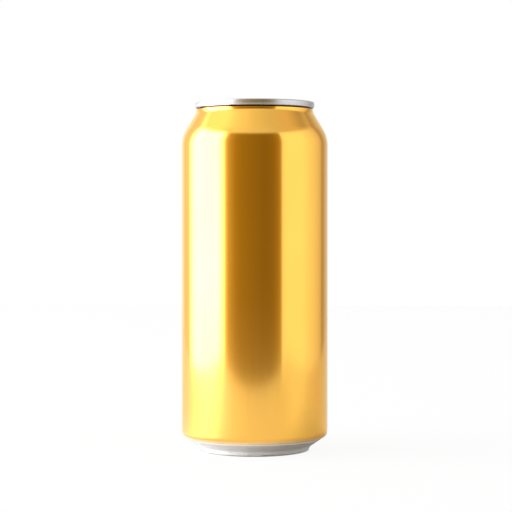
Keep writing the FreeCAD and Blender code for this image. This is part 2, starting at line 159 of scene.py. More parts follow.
# Tear panel: two score lines that stop at a hinge, and a stiffening bead.
TEAR_MARGIN = 1.2 * MM
TEAR_NEAR = 4.4 * MM
TEAR_STRETCH = 5.2 * MM
TEAR_R = (FIELD_FRONT - TEAR_MARGIN - TEAR_NEAR) / 2
TEAR_Y = -TEAR_NEAR - TEAR_R
TEAR_OVAL = ((-TEAR_STRETCH / 2, TEAR_Y, TEAR_R), (TEAR_STRETCH / 2, TEAR_Y, TEAR_R))
SCORE_WIDTH = 0.3 * MM
SCORE_DEPTH = 0.1 * MM
SECOND_SCORE_INSET = 0.95 * MM
SECOND_SCORE_SHARE = 0.4
HINGE_IN = 0.6 * MM
HINGE_R = 1.2 * MM
HINGE_FADE = 0.8 * MM
BEAD_INSET = 1.9 * MM
BEAD_WIDTH = 1.5 * MM
BEAD_HEIGHT = 0.2 * MM
BEAD_TAB_GAP = 0.3 * MM
BEAD_FADE = 1.5 * MM

# Rivet: its foot and post, and the staked head with a dimple.
RIVET_FOOT_R = 2.8 * MM
RIVET_FOOT_FLARE = 0.5 * MM
RIVET_FOOT_RISE = 0.1 * MM
RIVET_FOOT_ROUND = 0.3 * MM
RIVET_LIP_ROUND = 0.1 * MM
RIVET_POST_R = 1.7 * MM
RIVET_HEAD_R = 2.6 * MM
RIVET_HEAD_THICK = 0.45 * MM
RIVET_UNDER_ROUND = 0.05 * MM
RIVET_HEAD_ROUND = 0.22 * MM
DIMPLE_TOP_R = 1.25 * MM
DIMPLE_FLOOR_R = 0.9 * MM
DIMPLE_DEPTH = 0.28 * MM
DIMPLE_TOP_ROUND = 0.12 * MM
DIMPLE_FLOOR_ROUND = 0.15 * MM


# --- Outlines -------------------------------------------------------------------------------------


def rounded(corners):
    """Points along straight sides through corners of (across, up, rounding), with sampled arcs."""
    spots = [Vector(corner[:2]) for corner in corners]
    points = [spots[0]]
    for before, spot, after, (_, _, rounding) in zip(spots, spots[1:], spots[2:], corners[1:-1]):
        if not rounding:
            points.append(spot)
            continue
        back, ahead = (before - spot).normalized(), (after - spot).normalized()
        half = back.angle(ahead) / 2
        middle = spot + (back + ahead).normalized() * (rounding / math.sin(half))
        start = spot + back * (rounding / math.tan(half)) - middle
        turn = (math.pi - 2 * half) * (1 if back.x * ahead.y - back.y * ahead.x < 0 else -1)
        count = max(3, math.ceil(abs(turn) / ARC_STEP))
        for index in range(count + 1):
            angle = turn * index / count
            cos, sin = math.cos(angle), math.sin(angle)
            points.append(middle + Vector((start.x * cos - start.y * sin, start.x * sin + start.y * cos)))
    points.append(spots[-1])
    return points


def hold_ends(points, longest=4 * MM, hold=0.3 * MM):
    """Add a point near both ends of every long straight side, so that it keeps its own shading."""
    held = [points[0]]
    for start, finish in zip(points, points[1:]):
        span = finish - start
        if span.length > longest:
            held.append(start + span.normalized() * hold)
            held.append(finish - span.normalized() * hold)
        held.append(finish)
    return held


def thickened(points, gauge):
    """Close an open line of points into a sheet of that gauge, on its left-hand side."""
    back = []
    for index, point in enumerate(points):
        before = points[max(index - 1, 0)]
        after = points[min(index + 1, len(points) - 1)]
        along = (after - before).normalized()
        side = Vector((-along.y, along.x))
        back.append(Vector((max(point.x + side.x * gauge, 0), point.y + side.y * gauge)))
    for end in (0, -1):
        if points[end].x < ON_AXIS:
            back[end].x = 0
    return points + back[::-1]


def cut_at_height(points, height):
    """Split a rising line of points at a height, into what is below and what is above."""
    for index, (low, high) in enumerate(zip(points, points[1:])):
        if low.y <= height < high.y:
            cut = low.lerp(high, (height - low.y) / (high.y - low.y))
            return points[:index + 1] + [cut], [cut] + points[index + 1:]
    raise ValueError("the line does not cross that height")


def inside_oval(x, y, oval):
    """How far points lie inside the outline round two circles, each (x, y, radius); negative outside."""
    (x1, y1, r1), (x2, y2, r2) = oval
    span = math.hypot(x2 - x1, y2 - y1)
    along_x, along_y = (x2 - x1) / span, (y2 - y1) / span
    along = (x - x1) * along_x + (y - y1) * along_y
    across = np.abs((x - x1) * along_y - (y - y1) * along_x)
    lean = (r1 - r2) / span
    side = math.sqrt(1 - lean * lean)
    reach = along * side - across * lean
    first = r1 - np.hypot(across, along)
    second = r2 - np.hypot(across, along - span)
    straight = r1 - (across * side + along * lean)
    return np.where(reach < 0, first, np.where(reach > side * span, second, straight))


def oval_loop(oval, inset, count=120, step=0.5 * MM):
    """Points round an oval's outline, moved inwards by the inset."""
    loop = []
    for index in range(count):
        heading = Vector((math.cos(math.tau * index / count), math.sin(math.tau * index / count)))
        centre = max(oval, key=lambda circle: heading.dot(Vector(circle[:2])) + circle[2])
        loop.append(Vector(centre[:2]) + heading * (centre[2] - inset))
    full = []
    for start, finish in zip(loop, loop[1:] + loop[:1]):
        parts = max(1, math.ceil((finish - start).length / step))
        full += [start.lerp(finish, part / parts) for part in range(parts)]
    return full


def circle_loop(x, y, radius, count):
    """Points round a circle."""
    turns = [math.tau * index / count for index in range(count)]
    return [Vector((x + radius * math.cos(turn), y + radius * math.sin(turn))) for turn in turns]


def shares(count):
    """From 0 to 1 in that many steps."""
    return [part / count for part in range(count + 1)]


def eased(value):
    """Smooth step from 0 to 1."""
    value = np.clip(value, 0, 1)
    return value * value * (3 - 2 * value)


def ridge(distance, width):
    """A rounded ridge of height 1 across a line, where the distance from the line is 0."""
    return 0.5 + 0.5 * np.cos(np.pi * np.clip(2 * distance / width, -1, 1))


# --- Meshes ---------------------------------------------------------------------------------------


def spin(mesh, profile, closed):
    """Add a turned surface to a bmesh, from (radius, height) points; points on the axis stay single."""
    rings = []
    for point in profile:
        if point.x < ON_AXIS:
            rings.append([mesh.verts.new((0, 0, point.y))] * SEGMENTS)
            continue
        rings.append([
            mesh.verts.new((point.x * math.cos(turn), point.x * math.sin(turn), point.y))
            for turn in (math.tau * index / SEGMENTS for index in range(SEGMENTS))
        ])
    pairs = list(zip(rings, rings[1:])) + ([(rings[-1], rings[0])] if closed else [])
    for lower, upper in pairs:
        for index in range(SEGMENTS):
            after = (index + 1) % SEGMENTS
            corners = dict.fromkeys([lower[index], lower[after], upper[after], upper[index]])
            if len(corners) > 2:
                mesh.faces.new(corners)


def triangulated(loops):
    """Plan points and triangles that follow every loop's line."""
    points, edges = [], []
    for loop in loops:
        first = len(points)
        points += loop
        edges += [(first + index, first + (index + 1) % len(loop)) for index in range(len(loop))]
    in_mm = [point / MM for point in points]
    spots, _, faces, _, _, _ = delaunay_2d_cdt(in_mm, edges, [], 0, SAME_PLAN_SPOT_MM)
    plan = np.array([(spot.x, spot.y) for spot in spots]) * MM
    return plan, [tuple(face) for face in faces]


def linked(name, data):
    """An object of that data in the scene."""
    item = bpy.data.objects.new(name, data)
    bpy.context.scene.collection.objects.link(item)
    return item


def finished(name, mesh, sharp_angle):
    """Turn a bmesh into a smooth-shaded object that rides on the can."""
    bmesh.ops.remove_doubles(mesh, verts=mesh.verts, dist=SAME_SPOT)
    bmesh.ops.dissolve_degenerate(mesh, edges=mesh.edges, dist=SLIVER)
    bmesh.ops.recalc_face_normals(mesh, faces=mesh.faces)
    data = bpy.data.meshes.new(name)
    mesh.to_mesh(data)
    mesh.free()
    data.polygons.foreach_set("use_smooth", [True] * len(data.polygons))
    data.set_sharp_from_angle(angle=sharp_angle)
    piece = linked(name, data)
    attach(piece, "root")
    return piece


def turned(name, profile):
    """A piece turned from a closed profile."""
    mesh = bmesh.new()
    spin(mesh, profile, closed=True)
    return finished(name, mesh, SHARP_TURNED)


# --- Body -----------------------------------------------------------------------------------------


def outside_line():
    """The can's outside from the standing flat to the seam's foot."""
    chime_r = FOOT_R + FOOT_HEIGHT / math.tan(FOOT_ANGLE)
    neck_corner = SEAM_FOOT - NECK_DROP
    return rounded([
        (FOOT_R - NOSE_ROUND * math.tan(FOOT_ANGLE / 2) - STAND_FLAT / 2, 0, None),
        (FOOT_R, 0, NOSE_ROUND),
        (chime_r, FOOT_HEIGHT, FOOT_ROUND),
        (BODY_R, FOOT_HEIGHT + (BODY_R - chime_r) * math.tan(CHIME_ANGLE), CHIME_ROUND),
        (BODY_R, neck_corner - (BODY_R - NECK_R) / math.tan(NECK_ANGLE), SHOULDER_ROUND),
        (NECK_R, neck_corner, NECK_ROUND),
        (NECK_R, SEAM_FOOT - CREVICE_HEIGHT, CREVICE_ROUND),
        (NECK_R - CREVICE_DEPTH, SEAM_FOOT - CREVICE_LIP, CREVICE_ROUND),
        (NECK_R - CREVICE_DEPTH, SEAM_FOOT + CREVICE_HEIGHT, None),
    ])


def dome_line():
    """From the dome's middle out to its knuckle, down the inner wall and round to the standing flat."""
    wall = FOOT_R - NOSE_ROUND * math.tan(FOOT_ANGLE / 2) - STAND_FLAT - NOSE_ROUND
    dome_centre = DOME_DEPTH - DOME_RADIUS
    knuckle_r = wall - DOME_KNUCKLE
    knuckle_up = dome_centre + math.sqrt((DOME_RADIUS - DOME_KNUCKLE) ** 2 - knuckle_r ** 2)
    lean = math.atan2(knuckle_up - dome_centre, knuckle_r)
    crown = [
        Vector((DOME_RADIUS * math.cos(turn), dome_centre + DOME_RADIUS * math.sin(turn)))
        for turn in np.linspace(math.pi / 2, lean, CROWN_POINTS)
    ]
    crown[0].x = 0
    knuckle = [
        Vector((knuckle_r + DOME_KNUCKLE * math.cos(turn), knuckle_up + DOME_KNUCKLE * math.sin(turn)))
        for turn in np.linspace(lean, 0, KNUCKLE_POINTS)[1:]
    ]
    nose = rounded([
        (wall, knuckle_up, None),
        (wall, 0, NOSE_ROUND),
        (wall + NOSE_ROUND + STAND_FLAT / 2, 0, None),
    ])
    return crown + knuckle + nose[1:]


def make_body():
    """The lacquered wall and the bare base, which share the drawn can's sheet."""
    below, above = cut_at_height(outside_line(), LACQUER_EDGE)
    wall = turned("can_wall", thickened(hold_ends(above), WALL_GAUGE))
    base = turned("can_base", thickened(dome_line() + hold_ends(below)[1:], WALL_GAUGE))
    for piece, slot in ((wall, "gold_lacquer"), (base, "bare_aluminium")):
        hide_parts("can_body")
    return wall, base


# --- End ------------------------------------------------------------------------------------------


def panel_height(x, y):
    """Height of the panel's top face: sunk field, finger well, score lines and the tear panel's bead."""
    level = PANEL_TOP - FIELD_DEPTH * eased(inside_oval(x, y, FIELD_OVAL) / FIELD_WALL)
    well = np.hypot(x, (y - WELL_Y) * WELL_SQUASH) / WELL_R
    level -= WELL_DEPTH * eased(1 - well)
    tear = inside_oval(x, y, TEAR_OVAL)
    scored = eased((np.hypot(x + TEAR_STRETCH, y + TEAR_NEAR + HINGE_IN) - HINGE_R) / HINGE_FADE)
    level -= SCORE_DEPTH * scored * ridge(tear - SCORE_WIDTH / 2, SCORE_WIDTH)
    level -= SECOND_SCORE_SHARE * SCORE_DEPTH * scored * ridge(tear - SECOND_SCORE_INSET, SCORE_WIDTH)
    clear_of_tab = eased((-NOSE_R - BEAD_TAB_GAP - y) / BEAD_FADE)
    level += BEAD_HEIGHT * clear_of_tab * ridge(tear - BEAD_INSET - BEAD_WIDTH / 2, BEAD_WIDTH)
    return level


def panel_loops(edge_r):
    """Lines that the panel's triangles follow: its edge and steps across each formed feature."""
    second_score = SECOND_SCORE_INSET - SCORE_WIDTH / 2
    loops = [circle_loop(0, 0, edge_r, count=SEGMENTS)]
    loops += [oval_loop(FIELD_OVAL, FIELD_WALL * share) for share in shares(8)]
    loops += [oval_loop(TEAR_OVAL, SCORE_WIDTH * share) for share in shares(4)]
    loops += [oval_loop(TEAR_OVAL, second_score + SCORE_WIDTH * share) for share in shares(4)]
    loops += [oval_loop(TEAR_OVAL, BEAD_INSET + BEAD_WIDTH * share) for share in shares(8)]
    loops += [circle_loop(0, WELL_Y, WELL_R * share, count=40) for share in shares(9)[1:]]
    return loops


def rivet_line():
    """Half the rivet's section, from under the field up to the dimple in its staked head."""
    head_top = WEB_TOP + RIVET_HEAD_THICK
    return rounded([
        (0, FIELD - END_GAUGE / 2, None),
        (RIVET_FOOT_R + RIVET_FOOT_FLARE, FIELD - END_GAUGE / 2, None),
        (RIVET_FOOT_R, FIELD + RIVET_FOOT_RISE, RIVET_FOOT_ROUND),
        (RIVET_FOOT_R, WEB_BOTTOM, RIVET_LIP_ROUND),
        (RIVET_POST_R, WEB_BOTTOM, None),
        (RIVET_POST_R, WEB_TOP, None),
        (RIVET_HEAD_R, WEB_TOP, RIVET_UNDER_ROUND),
        (RIVET_HEAD_R, head_top, RIVET_HEAD_ROUND),
        (DIMPLE_TOP_R, head_top, DIMPLE_TOP_ROUND),
        (DIMPLE_FLOOR_R, head_top - DIMPLE_DEPTH, DIMPLE_FLOOR_ROUND),
        (0, head_top - DIMPLE_DEPTH, None),
    ])


def rim_line(edge_r):
    """Half the end's section: from the panel's edge over the seam and back under the panel."""
    under = FIELD - END_GAUGE
    wall_foot = SINK_OUT + END_GAUGE / math.cos(CHUCK_ANGLE) - END_GAUGE * math.tan(CHUCK_ANGLE)
    hook_r = NECK_R - CREVICE_DEPTH / 2
    hook_top = SEAM_FOOT + 2 * CREVICE_HEIGHT
    return rounded([
        (edge_r, PANEL_TOP, None),
        (PANEL_R, PANEL_TOP, PANEL_ROUND),
        (PANEL_R, SINK, SINK_ROUND),
        (SINK_OUT, SINK, SINK_ROUND),
        (SEAM_IN, KNEE, KNEE_ROUND),
        (SEAM_IN, SEAM_TOP, SEAM_ROUND),
        (SEAM_R, SEAM_TOP, SEAM_ROUND),
        (SEAM_R, SEAM_FOOT + SEAM_TUCK, SEAM_TUCK_ROUND),
        (SEAM_R - SEAM_TUCK_IN, SEAM_FOOT, SEAM_HOOK_ROUND),
        (hook_r, SEAM_FOOT + SEAM_HOOK_ROUND, None),
        (hook_r, hook_top, None),
        (SEAM_IN + END_GAUGE, hook_top, None),
        (SEAM_IN + END_GAUGE, KNEE, KNEE_ROUND),
        (wall_foot, SINK - END_GAUGE, SINK_ROUND + END_GAUGE),
        (PANEL_R - END_GAUGE, SINK - END_GAUGE, SINK_ROUND + END_GAUGE),
        (PANEL_R - END_GAUGE, under, None),
        (0, under, None),
    ])


def make_end():
    """The seamed-on end in one closed sheet, with its rivet."""
    edge_r = PANEL_R - PANEL_ROUND - PANEL_EDGE_FLAT
    mesh = bmesh.new()
    spin(mesh, rim_line(edge_r), closed=False)
    plan, faces = triangulated(panel_loops(edge_r))
    heights = panel_height(plan[:, 0], plan[:, 1])
    verts = [mesh.verts.new((x, y, z)) for (x, y), z in zip(plan, heights)]
    for face in faces:
        mesh.faces.new([verts[index] for index in face])
    spin(mesh, rivet_line(), closed=False)
    end = finished("end_sheet", mesh, SHARP_FORMED)
    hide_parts("can_end")
    return end


# --- Pull tab -------------------------------------------------------------------------------------


def tab_half_height(x, y):
    """Half the tab's thickness before the web: curled rims round the outline and the finger hole."""
    edge = np.minimum(inside_oval(x, y, TAB_OVAL), -inside_oval(x, y, RING_OVAL))
    curl = np.sqrt(np.clip(1 - (1 - np.clip(edge / TAB_HALF, 0, 2)) ** 2, 0, 1))
    return TAB_HALF * np.where(edge > TAB_HALF, np.maximum(curl, PLATEAU_SHARE), curl)


def tab_faces(x, y):
    """Heights of the tab's top and underside."""
    half = tab_half_height(x, y)
    web = eased((WEB_R - np.hypot(x, y)) / WEB_ROLL)
    top = (TAB_MID + half) * (1 - web) + WEB_TOP * web
    bottom = (TAB_MID - half) * (1 - web) + WEB_BOTTOM * web
    return top, bottom


def slot_loop():
    """The slot that frees the rivet's tongue: part of a ring round the rivet, open towards the nose."""
    turns = np.linspace(math.pi / 2 - SLOT_HALF_SWEEP, math.pi / 2 + SLOT_HALF_SWEEP, SLOT_POINTS)
    outer = [Vector((SLOT_OUT * math.cos(turn), SLOT_OUT * math.sin(turn))) for turn in turns]
    inner = [Vector((SLOT_IN * math.cos(turn), SLOT_IN * math.sin(turn))) for turn in turns]
    return outer + inner[::-1]


def in_slot(x, y):
    """Whether a point of the plan is in the slot."""
    turn = abs((math.atan2(y, x) - math.pi / 2 + math.pi) % math.tau - math.pi)
    return SLOT_IN < math.hypot(x, y) < SLOT_OUT and turn < SLOT_HALF_SWEEP


def in_tab(x, y):
    """Whether a point of the plan is in the tab's sheet, clear of its holes."""
    if inside_oval(x, y, TAB_OVAL) < 0 or inside_oval(x, y, RING_OVAL) > 0:
        return False
    return not in_slot(x, y) and math.hypot(x, y) > RIVET_POST_R


def tab_loops():
    """Lines that the tab's triangles follow: its curled rims, web, slot and rivet hole."""
    curl = [TAB_HALF * (1 - math.cos(math.pi * share)) for share in shares(CURL_STEPS)]
    loops = [oval_loop(TAB_OVAL, inset) for inset in curl]
    loops += [oval_loop(RING_OVAL, -inset) for inset in curl[:RING_CURL_STEPS + 1]]
    loops += [circle_loop(0, 0, WEB_R - WEB_ROLL * share, count=96) for share in shares(6)]
    return loops + [slot_loop(), circle_loop(0, 0, RIVET_POST_R, count=48)]


def rim_edges(faces):
    """Edges that only one face has, in its direction."""
    edges = {}
    for face in faces:
        for start, finish in zip(face, face[1:] + face[:1]):
            if edges.pop((finish, start), None) is None:
                edges[(start, finish)] = True
    return edges


def make_tab():
    """The tab as one closed sheet with curled rims, sunk web, tongue slot and finger hole."""
    plan, faces = triangulated(tab_loops())
    x, y = plan[:, 0], plan[:, 1]
    top, bottom = tab_faces(x, y)
    mesh = bmesh.new()
    upper = [mesh.verts.new(spot) for spot in zip(x, y, top)]
    lower = [mesh.verts.new(spot) for spot in zip(x, y, bottom)]
    kept = [face for face in faces if in_tab(*plan[list(face)].mean(axis=0))]
    for face in kept:
        mesh.faces.new([upper[index] for index in face])
        mesh.faces.new([lower[index] for index in reversed(face)])
    for start, finish in rim_edges(kept):
        mesh.faces.new([upper[finish], upper[start], lower[start], lower[finish]])
    loose = [vert for vert in mesh.verts if not vert.link_faces]
    bmesh.ops.delete(mesh, geom=loose, context="VERTS")
    tab = finished("tab", mesh, SHARP_FORMED)
    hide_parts("pull_tab")
    return tab


# --- Shader nodes ---------------------------------------------------------------------------------

# Most of a noise lies between these two values.
NOISE_LOW = 0.3
NOISE_HIGH = 0.7


def fed(link, value, socket):
    """Link another node's output to a socket, or set the socket to a plain value."""
    if isinstance(value, bpy.types.NodeSocket):
        link(value, socket)
    else:
        socket.default_value = value


def computed(nodes, link, operation, *operands):
    """A Math node's result."""
    sum_node = nodes.new("ShaderNodeMath")
    sum_node.operation = operation
    for operand, socket in zip(operands, sum_node.inputs):
        fed(link, operand, socket)
    return sum_node.outputs["Value"]


def ranged(nodes, link, source, start, finish, low, high, curve="LINEAR"):
    """Map a value from one range to another, and hold it at the ends."""
    band = nodes.new("ShaderNodeMapRange")
    band.interpolation_type = curve
    band.inputs["From Min"].default_value = start
    band.inputs["From Max"].default_value = finish
    band.inputs["To Min"].default_value = low
    band.inputs["To Max"].default_value = high
    link(source, band.inputs["Value"])
    return band.outputs["Result"]


def risen(nodes, link, source, start, finish):
    """0 before a start, 1 past a finish, smooth between."""
    return ranged(nodes, link, source, start, finish, 0.0, 1.0, curve="SMOOTHSTEP")


def spread(nodes, link, noise, low, high):
    """Spread a noise over a range."""
    return ranged(nodes, link, noise, NOISE_LOW, NOISE_HIGH, low, high)


def blended(nodes, link, share, first, second):
    """Value between two others."""
    mix = nodes.new("ShaderNodeMix")
    link(share, mix.inputs["Factor"])
    fed(link, first, mix.inputs["A"])
    fed(link, second, mix.inputs["B"])
    return mix.outputs["Result"]


def mixed_colour(nodes, link, share, first, second):
    """Colour between two others."""
    mix = nodes.new("ShaderNodeMix")
    mix.data_type = "RGBA"
    link(share, mix.inputs["Factor"])
    fed(link, first, mix.inputs["A"])
    fed(link, second, mix.inputs["B"])
    return mix.outputs["Result"]


def tinted(nodes, link, noise, dark, light):
    """Colour between two others, by a noise."""
    ramp = nodes.new("ShaderNodeValToRGB")
    ramp.color_ramp.elements[0].position = NOISE_LOW
    ramp.color_ramp.elements[0].color = dark
    ramp.color_ramp.elements[1].position = NOISE_HIGH
    ramp.color_ramp.elements[1].color = light
    link(noise, ramp.inputs["Fac"])
    return ramp.outputs["Color"]


def own_place(nodes):
    """The object's own coordinates."""
    return nodes.new("ShaderNodeTexCoord").outputs["Object"]


def own_axes(nodes, link):
    """The object's own X, Y and Z, by name."""
    axes = nodes.new("ShaderNodeSeparateXYZ")
    link(own_place(nodes), axes.inputs[0])
    return axes.outputs


def axis_reach(nodes, link):
    """Distance from the can's axis."""
    flat = nodes.new("ShaderNodeVectorMath")
    flat.operation = "MULTIPLY"
    flat.inputs[1].default_value = (1, 1, 0)
    reach = nodes.new("ShaderNodeVectorMath")
    reach.operation = "LENGTH"
    link(own_place(nodes), flat.inputs[0])
    link(flat.outputs["Vector"], reach.inputs[0])
    return reach.outputs["Value"]


def stretched_noise(nodes, link, scale, detail=3.0):
    """Noise over the object's own coordinates, stretched by a scale for each axis."""
    stretch = nodes.new("ShaderNodeMapping")
    stretch.inputs["Scale"].default_value = scale
    noise = nodes.new("ShaderNodeTexNoise")
    noise.inputs["Scale"].default_value = 1.0
    noise.inputs["Detail"].default_value = detail
    link(own_place(nodes), stretch.inputs["Vector"])
    link(stretch.outputs["Vector"], noise.inputs["Vector"])
    return noise.outputs["Fac"]


def ring_noise(nodes, link, scale, detail=4.0):
    """Noise that changes only with the distance from the can's axis, as turning and drawing leave it."""
    noise = nodes.new("ShaderNodeTexNoise")
    noise.noise_dimensions = "1D"
    noise.inputs["Scale"].default_value = scale
    noise.inputs["Detail"].default_value = detail
    link(axis_reach(nodes, link), noise.inputs["W"])
    return noise.outputs["Fac"]


def bumped(nodes, link, source, shader, depth, strength):
    """Drive the shader's normal by a height of that depth."""
    bump = nodes.new("ShaderNodeBump")
    bump.inputs["Strength"].default_value = strength
    bump.inputs["Distance"].default_value = depth
    link(source, bump.inputs["Height"])
    link(bump.outputs["Normal"], shader.inputs["Normal"])


# --- Materials ------------------------------------------------------------------------------------

# Gold lacquer: colours are linear, and grain scales are noise cells a metre along X, Y and Z.
GOLD_DEEP = (0.90, 0.485, 0.078, 1)
GOLD_LIGHT = (0.925, 0.51, 0.088, 1)
# Painted highlight: the gold is painted pale cream towards its lower edge.
GOLD_EDGE_HIGHLIGHT = (0.96, 0.80, 0.56, 1)
# Painted shade: near-black colour in the crevice under the seam.
GOLD_GAP_SHADE = (0.06, 0.02, 0.006, 1)
GOLD_AT_GRAZING = (1.0, 0.95, 0.78, 1)
GOLD_CLOUD = (40, 40, 22)
DRAWN_LINES = (2600, 2600, 14)
DRAWN_DEPTH = 0.002 * MM
DRAWN_STRENGTH = 0.25
GOLD_ROUGHNESS = (0.10, 0.135)
COAT_WEIGHT = 0.15
COAT_ROUGHNESS = 0.04
COAT_IOR = 1.5
GOLD_HIGHLIGHT_FADE = 1.9 * MM
GAP_BLUR_BELOW = 0.03 * MM
GAP_BLUR_ABOVE = 0.07 * MM

# Bare base: grained on the dome, ringed on the flank, painted pale at the foot as a highlight and rougher
# there, with a cream painted highlight along its top edge.
BARE_DARK = (0.60, 0.595, 0.59, 1)
BARE_LIGHT = (0.74, 0.74, 0.74, 1)
# Painted highlight: the pale colour the foot is painted with.
BARE_FOOT_HIGHLIGHT = (0.93, 0.925, 0.92, 1)
# Painted highlight: a cream band along the top edge of the base, made less metallic so that it shows.
BARE_EDGE_HIGHLIGHT = (1.0, 0.86, 0.62, 1)
BARE_GRAIN = (120, 3600, 600)
BARE_RINGS = 1500
BARE_DEPTH = 0.008 * MM
BARE_STRENGTH = 0.4
DOME_ROUGHNESS = (0.16, 0.30)
FLANK_ROUGHNESS = (0.30, 0.42)
RUBBED_ROUGHNESS = 0.6
EDGE_METALLIC = 0.35
DOME_EDGE = 18 * MM
FLANK_START = 23 * MM
FOOT_HIGHLIGHT_AND_WEAR_TOP = FOOT_HEIGHT + 1.8 * MM
FOOT_HIGHLIGHT_AND_WEAR_FULL = FOOT_HEIGHT - 0.6 * MM
EDGE_FOOT = LACQUER_EDGE - 0.5 * MM
EDGE_BLUR = 0.1 * MM
EDGE_IN = FOOT_R + 1.0 * MM
EDGE_OUT = FOOT_R + 4.0 * MM

# Rolled sheet: straight grain on panel and tab, faint turned lines on the seam and the wall inside it.
END_COLOUR = (0.54, 0.545, 0.56)
END_ROUGHNESS = 0.22
TAB_COLOUR = (0.82, 0.825, 0.835)
TAB_ROUGHNESS = 0.15
ROLLED_GRAIN = (160, 5200, 160)
ROLLED_DEPTH = 0.002 * MM
ROLLED_STRENGTH = 0.2
SEAM_LINES = (40, 40, 2500)
SHEET_DARKER = 0.93
SHEET_METALLIC = 0.75
SHEET_SPREAD = (0.8, 1.2)
SEAM_SPREAD = (1.35, 1.55)
SEAM_START = PANEL_R + 1.0 * MM


def new_material(name):
    """A material, its nodes, the call that links two sockets, and its shader."""
    material = bpy.data.materials.new(name)
    material.use_nodes = True
    nodes, links = material.node_tree.nodes, material.node_tree.links
    return material, nodes, links.new, nodes["Principled BSDF"]


def gold_lacquer():
    """Clear gold lacquer over drawn aluminium: painted pale as a highlight at its lower edge, and painted
    dark as shade in the gap under the seam.
    """
    material, nodes, link, shader = new_material("gold_lacquer")
    height = own_axes(nodes, link)["Z"]
    cloud = stretched_noise(nodes, link, GOLD_CLOUD)
    lines = stretched_noise(nodes, link, DRAWN_LINES, detail=4.0)
    gold = tinted(nodes, link, cloud, GOLD_DEEP, GOLD_LIGHT)
    # Painted highlight: the gold turns pale towards the lacquer's lower edge.
    low_highlight = risen(nodes, link, height, LACQUER_EDGE + GOLD_HIGHLIGHT_FADE, LACQUER_EDGE)
    # Painted shade: the gold turns near black in the crevice under the seam.
    gap_foot = SEAM_FOOT - CREVICE_HEIGHT
    gap = risen(nodes, link, height, gap_foot - GAP_BLUR_BELOW, gap_foot + GAP_BLUR_ABOVE)
    highlighted = mixed_colour(nodes, link, low_highlight, gold, GOLD_EDGE_HIGHLIGHT)
    link(mixed_colour(nodes, link, gap, highlighted, GOLD_GAP_SHADE), shader.inputs["Base Color"])
    link(spread(nodes, link, lines, *GOLD_ROUGHNESS), shader.inputs["Roughness"])
    bumped(nodes, link, lines, shader, DRAWN_DEPTH, DRAWN_STRENGTH)
    shader.inputs["Metallic"].default_value = 1.0
    shader.inputs["Specular Tint"].default_value = GOLD_AT_GRAZING
    shader.inputs["Coat Weight"].default_value = COAT_WEIGHT
    shader.inputs["Coat Roughness"].default_value = COAT_ROUGHNESS
    shader.inputs["Coat IOR"].default_value = COAT_IOR
    return material


def bare_aluminium():
    """Bare drawn aluminium: the sheet's straight grain on the dome, the rings that its tool leaves, and
    painted highlights at the foot and the top edge.
    """
    material, nodes, link, shader = new_material("bare_aluminium")
    height = own_axes(nodes, link)["Z"]
    reach = axis_reach(nodes, link)
    rings = ring_noise(nodes, link, BARE_RINGS)
    grain = stretched_noise(nodes, link, BARE_GRAIN, detail=5.0)
    flank = risen(nodes, link, reach, DOME_EDGE, FLANK_START)
    marks = blended(nodes, link, flank, grain, rings)
    metal = tinted(nodes, link, marks, BARE_DARK, BARE_LIGHT)
    # Painted highlight at the foot, where the roughness also rises as wear.
    foot_highlight_and_wear = risen(nodes, link, height, FOOT_HIGHLIGHT_AND_WEAR_TOP, FOOT_HIGHLIGHT_AND_WEAR_FULL)
    # Painted highlight: a cream band along the top edge of the base.
    high = risen(nodes, link, height, EDGE_FOOT - EDGE_BLUR, EDGE_FOOT + EDGE_BLUR)
    outside = risen(nodes, link, reach, EDGE_IN, EDGE_OUT)
    edge = computed(nodes, link, "MULTIPLY", high, outside)
    foot = mixed_colour(nodes, link, foot_highlight_and_wear, metal, BARE_FOOT_HIGHLIGHT)
    link(mixed_colour(nodes, link, edge, foot, BARE_EDGE_HIGHLIGHT), shader.inputs["Base Color"])
    dome_dull = spread(nodes, link, grain, *DOME_ROUGHNESS)
    flank_dull = spread(nodes, link, rings, *FLANK_ROUGHNESS)
    dull = blended(nodes, link, flank, dome_dull, flank_dull)
    link(blended(nodes, link, foot_highlight_and_wear, dull, RUBBED_ROUGHNESS), shader.inputs["Roughness"])
    link(blended(nodes, link, edge, 1.0, EDGE_METALLIC), shader.inputs["Metallic"])
    bumped(nodes, link, marks, shader, BARE_DEPTH, BARE_STRENGTH)
    return material


def sheet_colour(nodes, link, marks, colour):
    """Rolled sheet's colour, a little darker here and there by its marks."""
    darker = tuple(channel * SHEET_DARKER for channel in colour)
    return tinted(nodes, link, marks, (*darker, 1), (*colour, 1))


def sheet_dull(nodes, link, marks, roughness, share):
    """Roughness spread by marks, between two shares of its middle value."""
    return spread(nodes, link, marks, roughness * share[0], roughness * share[1])


def tab_aluminium():
    """Clear-coated rolled sheet with a fine straight grain."""
    material, nodes, link, shader = new_material("tab_aluminium")
    grain = stretched_noise(nodes, link, ROLLED_GRAIN, detail=5.0)
    link(sheet_colour(nodes, link, grain, TAB_COLOUR), shader.inputs["Base Color"])
    link(sheet_dull(nodes, link, grain, TAB_ROUGHNESS, SHEET_SPREAD), shader.inputs["Roughness"])
    shader.inputs["Metallic"].default_value = SHEET_METALLIC
    bumped(nodes, link, grain, shader, ROLLED_DEPTH, ROLLED_STRENGTH)
    return material


